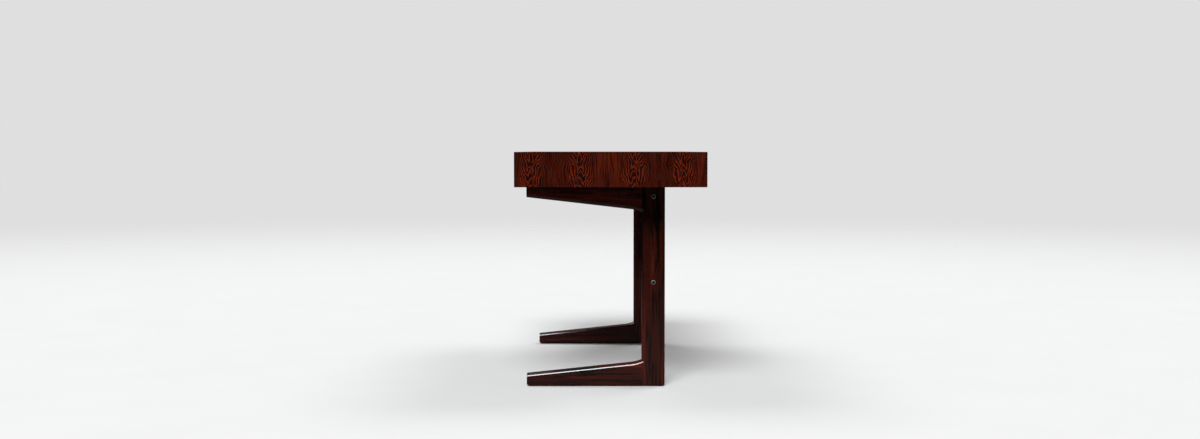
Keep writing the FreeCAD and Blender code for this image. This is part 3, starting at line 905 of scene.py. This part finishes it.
class DESK_OT_case(bpy.types.Operator):
    """Veneer the case: the leaves run along the top and down both sides"""

    bl_idname = "desk.case"
    bl_label = "Veneer the case"

    def execute(self, context):
        look = desk_look().veneer
        across = Run(Y, 1.0, -look.seam)
        partitions = ["left_partition", "right_partition"]
        boards = {
            "top": (["top_panel"], Run(X, 1.0, 0.0), across),
            "right_side": (["right_side_panel"], Run(Z, -1.0, FALL_LENGTH), across),
            "left_side": (["left_side_panel"], Run(Z, 1.0, -FALL_LENGTH), across),
            "back": (["back_panel"], *level_cut(look, "back_panel", X, 0.4)),
            "bottom": (["bottom_panel"], Run(X, 1.0, 2.3), across),
            "partition": (partitions, *level_cut(look, partitions[0], Y, 1.2)),
        }
        for name, (nodes, *runs) in boards.items():
            dress(nodes, veneer_material(f"rosewood_{name}", look, *runs))
        return {"FINISHED"}


class DESK_OT_lippings(bpy.types.Operator):
    """Finish the lippings: grain along each strip, turning at the mitres"""

    bl_idname = "desk.lippings"
    bl_label = "Finish the lippings"

    def execute(self, context):
        look = desk_look()
        level = Board(GRAIN_ALONG_X, (0.9, 0.4, 0))
        material, tree, shader = new_material("rosewood_lipping")
        place = object_place(tree)
        parts = parts_of(tree, place)
        past_side = calc(tree, "SUBTRACT", calc(tree, "ABSOLUTE", parts[X]), SIDE_INSIDE)
        mitre = calc(tree, "ADD", calc(tree, "MAXIMUM", past_side, 0.0), TOP_UNDERSIDE)
        upright = calc(tree, "LESS_THAN", parts[Z], mitre)
        flat = put(tree, "ShaderNodeMapping", {"Vector": place, "Rotation": level.turn}).outputs[0]
        ways = {"Factor": upright, 4: flat, 5: place}
        turned = put(tree, "ShaderNodeMix", ways, data_type="VECTOR").outputs[1]
        finish_wood(tree, shader, place, solid_figure(tree, look.solid, turned, level.pith), look.solid)
        dress(["front_lipping", "rear_lipping"], material)
        spline = Board(GRAIN_ALONG_Y, (0.2, 0.1, 0))
        dress(["mitre_splines"], solid_material("pale_spline", look.pale, spline))
        return {"FINISHED"}


class DESK_OT_drawers(bpy.types.Operator):
    """Finish the drawers: one veneer figure across the fronts, pale wood behind"""

    bl_idname = "desk.drawers"
    bl_label = "Finish the drawers"

    def execute(self, context):
        look = desk_look()
        fronts = [f"{name}_drawer_front" for name in DRAWERS]
        cut = level_cut(look.veneer, fronts[0], X, 5.1)
        dress(fronts, veneer_material("rosewood_fronts", look.veneer, *cut))
        boards = {
            "side": (DRAWER_LONG_PIECES, Board(GRAIN_ALONG_Y, (0.05, 0.55, 0))),
            "back": (["back"], Board(GRAIN_ALONG_X, (-0.5, 0.1, 0))),
            "bottom": (["bottom"], Board(GRAIN_ALONG_X, (-0.655, 0.3, 0))),
        }
        for label, (pieces, board) in boards.items():
            nodes = [f"{name}_drawer_{piece}" for name in DRAWERS for piece in pieces]
            dress(nodes, solid_material(f"pale_drawer_{label}", look.pale, board))
        return {"FINISHED"}


class DESK_OT_legs(bpy.types.Operator):
    """Finish the C-shaped legs: upright grain in the posts, level grain in the arms and feet"""

    bl_idname = "desk.legs"
    bl_label = "Finish the legs"

    def execute(self, context):
        look = desk_look().solid
        boards = {
            # Painted shade: the right post's shift lays darker grain at its top, deepening the shade under
            # the case
            "right_post": Board(GRAIN_ALONG_Z, (0.62, 0.16, 0), 1.32),
            # Painted light: the left post's shift lays lighter grain low down, making up for light that the
            # far post lacks
            "left_post": Board(GRAIN_ALONG_Z, (-0.60, 0.06, 0), 2.35),
            "right_arm": Board(GRAIN_ALONG_Y, (0.60, 0.50, 0)),
            "left_arm": Board(GRAIN_ALONG_Y, (-0.44, 0.50, 0)),
            "right_foot": Board(GRAIN_ALONG_Y, (0.60, -0.10, 0)),
            "left_foot": Board(GRAIN_ALONG_Y, (-0.38, -0.12, 0)),
        }
        for name, board in boards.items():
            dress([name], solid_material(f"rosewood_{name}", look, board))
        return {"FINISHED"}


class DESK_OT_modesty_panel(bpy.types.Operator):
    """Veneer the modesty panel between the posts"""

    bl_idname = "desk.modesty_panel"
    bl_label = "Veneer the modesty panel"

    def execute(self, context):
        look = desk_look().veneer
        cut = level_cut(look, "modesty_panel", X, 8.0)
        dress(["modesty_panel"], veneer_material("rosewood_modesty", look, *cut))
        return {"FINISHED"}


class DESK_OT_fastenings(bpy.types.Operator):
    """Make the socketed bolts and screws, and give the inserts their steel"""

    bl_idname = "desk.fastenings"
    bl_label = "Make the fastenings"

    def execute(self, context):
        look = desk_look().hardware
        steel = turned_steel("turned_steel", look.steel, look.grime_and_socket_shade, STEEL_BARENESS)
        # Painted shade for the sockets' hollows, where light does not reach
        oil_and_shade = turned_steel("socket_painted_shade", toned(look.grime_and_socket_shade, SOCKET_SHADE_LIGHTER), look.grime_and_socket_shade, SOCKET_SHADE_BARENESS)
        source = socket_fastener(
            head_diameter=BOLT_HEAD_DIAMETER,
            crown=BOLT_HEAD_HEIGHT,
            shank_diameter=look.bolt_shank,
            length=POST_FACE - PANEL_END + BOLT_BITE,
            socket=look.bolt_socket,
            depth=look.bolt_depth,
            rim=look.bolt_rim,
        )
        places = [
            Matrix.Translation((side * POST_FACE, BOLT_AXIS_Y, height))
            @ Matrix.Rotation(side * math.pi / 2, 4, "Y")
            for side in SIDES
            for height in BOLT_HEIGHTS
        ]
        bolts = piece_from(copies_at(source, places), "socket_bolts", steel, oil_and_shade)
        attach(bolts, "desk")
        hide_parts("panel_bolts")

        seat = SCREW_LOW.z + look.screw_head_height
        source = socket_fastener(
            head_diameter=look.screw_head,
            crown=look.screw_head_height,
            shank_diameter=look.screw_shank,
            length=SCREW_HIGH.z - seat,
            socket=look.screw_socket,
            depth=look.screw_depth,
            rim=look.screw_rim,
        )
        head = look.screw_head / 2
        places = [
            Matrix.Translation((side * (SCREW_HIGH.x - head), y, seat)) @ Matrix.Rotation(math.pi, 4, "X")
            for side in SIDES
            for y in (SCREW_LOW.y + head, SCREW_HIGH.y - head)
        ]
        screws = piece_from(copies_at(source, places), "socket_screws", steel, oil_and_shade)
        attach(screws, "desk")
        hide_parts("case_screws")
        dress(["threaded_inserts"], steel)
        return {"FINISHED"}


class DESK_OT_glides(bpy.types.Operator):
    """Make the moulded glides under the feet and posts"""

    bl_idname = "desk.glides"
    bl_label = "Make the glides"

    def execute(self, context):
        look = desk_look().hardware
        radius = look.glide / 2
        places = [
            Matrix.Translation((side * (GLIDE_HIGH.x - radius), y, 0))
            for side in SIDES
            for y in (GLIDE_LOW.y + radius, GLIDE_HIGH.y - radius)
        ]
        source = turned_glide(radius, GLIDE_HIGH.z)
        plastic = moulded_plastic("moulded_glide", look)
        glides = piece_from(copies_at(source, places), "moulded_glides", plastic)
        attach(glides, "desk")
        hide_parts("glides")
        return {"FINISHED"}


# The studio: where its lights come from, and how its floor and background fade, in metres and directions

KEY_WAY = (0.67, -0.10, 0.73)
ASIDE_WAY = (0.62, -0.33, 0.70)
FRONT_FILL_WAY = (-0.42, -0.45, 0.79)
BACK_FILL_WAY = (-0.42, 0.45, 0.79)
LAMP_DISTANCE = 4
FLOOR_RADIUS = 16.0
FLOOR_SEGMENTS = 96
FLOOR_FADE = (11.0, 3.0)
FLOOR_MIRROR_FADE = (5.0, 0.3)
FLOOR_ROUGHNESS = 0.7
MOTTLE = Cells(3, 3, detail=5.0, roughness=0.6)
MOTTLE_EDGE = (0.3, 0.7)
MOTTLE_DARKER = 0.985
TOWARDS_CAMERA = (0.92, 0.40)
OVERHEAD = (0.20, 0.75)
HORIZON = (-0.02, 0.06)
GLOOM = 0.010
VIEW_END = 200


class DESK_OT_studio(bpy.types.Operator):
    """Set the floor, the soft lights and the camera"""

    bl_idname = "desk.studio"
    bl_label = "Set the studio"

    def execute(self, context):
        look = desk_look().studio
        scene = context.scene
        self.lay_floor(scene, look)
        self.fill_world(scene, look)
        self.hang_light(scene, look, "soft_key", look.key, KEY_WAY)
        self.hang_light(scene, look, "soft_key_aside", look.aside, ASIDE_WAY)
        self.hang_light(scene, look, "soft_fill_front", look.fill, FRONT_FILL_WAY)
        self.hang_light(scene, look, "soft_fill_back", look.fill, BACK_FILL_WAY)
        self.stand_camera(scene, look)
        scene.view_settings.view_transform = "Standard"
        return {"FINISHED"}

    def lay_floor(self, scene, look):
        """A pale floor that fades out; only a share of it lights the desk and shows in the polish."""
        material, tree, shader = new_material("pale_floor")
        place = object_place(tree)
        mottle = ease(tree, drawn_out(tree, place, MOTTLE), *MOTTLE_EDGE)
        darker = toned(look.floor, MOTTLE_DARKER)
        tree.links.new(blended(tree, mottle, (*look.floor, 1), (*darker, 1)), shader.inputs["Base Color"])
        shader.inputs["Roughness"].default_value = FLOOR_ROUGHNESS
        shader.inputs["Specular IOR Level"].default_value = 0.0
        distance = length_of(tree, place)
        path = put(tree, "ShaderNodeLightPath").outputs
        mirrored = calc(tree, "MULTIPLY", ease(tree, distance, *FLOOR_MIRROR_FADE), look.mirrored)
        share = between(tree, path["Is Glossy Ray"], look.bounce, mirrored)
        share = between(tree, path["Is Camera Ray"], share, 1.0)
        shown = calc(tree, "MULTIPLY", ease(tree, distance, *FLOOR_FADE), share)
        tree.links.new(shown, shader.inputs["Alpha"])
        bm = bmesh.new()
        bmesh.ops.create_circle(bm, cap_ends=True, segments=FLOOR_SEGMENTS, radius=FLOOR_RADIUS)
        mesh = bpy.data.meshes.new("studio_floor")
        bm.to_mesh(mesh)
        bm.free()
        mesh.materials.append(material)
        floor = bpy.data.objects.new("studio_floor", mesh)
        scene.collection.objects.link(floor)

    def fill_world(self, scene, look):
        """The pale background, and what lights the desk from above the floor: dimmer behind the camera."""
        world = bpy.data.worlds.new("studio")
        world.use_nodes = True
        tree = world.node_tree
        tree.nodes.clear()
        path = put(tree, "ShaderNodeLightPath").outputs
        way = parts_of(tree, put(tree, "ShaderNodeTexCoord").outputs["Generated"])
        polish = calc(tree, "MULTIPLY_ADD", ease(tree, way[X], *TOWARDS_CAMERA), look.sides, GLOOM)
        polish = weighted(tree, polish, (ease(tree, way[Z], *OVERHEAD), look.sheen))
        lit = between(tree, path["Is Glossy Ray"], look.ambient, polish)
        lit = calc(tree, "MULTIPLY", lit, ease(tree, way[Z], *HORIZON))
        strength = between(tree, path["Is Camera Ray"], lit, 1.0)
        background = put(tree, "ShaderNodeBackground", {"Color": (*look.haze, 1), "Strength": strength})
        put(tree, "ShaderNodeOutputWorld", {"Surface": background.outputs[0]})
        scene.world = world

    def hang_light(self, scene, look, name, strength, way):
        """A broad light from one direction, so that the whole floor is lit alike."""
        light = bpy.data.lights.new(name, "SUN")
        light.energy = strength
        light.color = look.daylight
        light.angle = look.spread
        lamp = bpy.data.objects.new(name, light)
        lamp.location = LAMP_DISTANCE * Vector(way)
        lamp.rotation_euler = (-Vector(way)).to_track_quat("-Z", "Y").to_euler()
        scene.collection.objects.link(lamp)

    def stand_camera(self, scene, look):
        """A camera at the photograph's viewing angle."""
        camera = bpy.data.cameras.new("photo_camera")
        camera.lens = look.lens
        camera.clip_end = VIEW_END
        stand = bpy.data.objects.new("photo_camera", camera)
        stand.location = look.stand
        stand.rotation_euler = (math.pi / 2 - look.tilt, 0, math.pi / 2 - look.yaw)
        scene.collection.objects.link(stand)
        scene.camera = stand


class DESK_PT_finish(bpy.types.Panel):
    """The desk's finishes, in the order that they are made"""

    bl_label = "Cantilever desk"
    bl_idname = "DESK_PT_finish"
    bl_space_type = "VIEW_3D"
    bl_region_type = "UI"
    bl_category = "Desk"

    def draw(self, context):
        for operator in OPERATORS:
            self.layout.operator(operator.bl_idname)


LOOKS = (VeneerLook, SolidLook, PaleLook, HardwareLook, StudioLook, DeskLook)
OPERATORS = (
    DESK_OT_case,
    DESK_OT_lippings,
    DESK_OT_drawers,
    DESK_OT_legs,
    DESK_OT_modesty_panel,
    DESK_OT_fastenings,
    DESK_OT_glides,
    DESK_OT_studio,
)
CLASSES = LOOKS + OPERATORS + (DESK_PT_finish,)


def register():
    """Makes the settings, the operators and the panel known."""
    for made in CLASSES:
        bpy.utils.register_class(made)
    bpy.types.Scene.desk_look = PointerProperty(type=DeskLook)


def unregister():
    """Takes them away again."""
    del bpy.types.Scene.desk_look
    for made in reversed(CLASSES):
        bpy.utils.unregister_class(made)


def main():
    """Finishes the desk group by group."""
    register()
    bpy.ops.desk.case()
    bpy.ops.desk.lippings()
    bpy.ops.desk.drawers()
    bpy.ops.desk.legs()
    bpy.ops.desk.modesty_panel()
    bpy.ops.desk.fastenings()
    bpy.ops.desk.glides()
    bpy.ops.desk.studio()


if __name__ == "__main__":
    main()
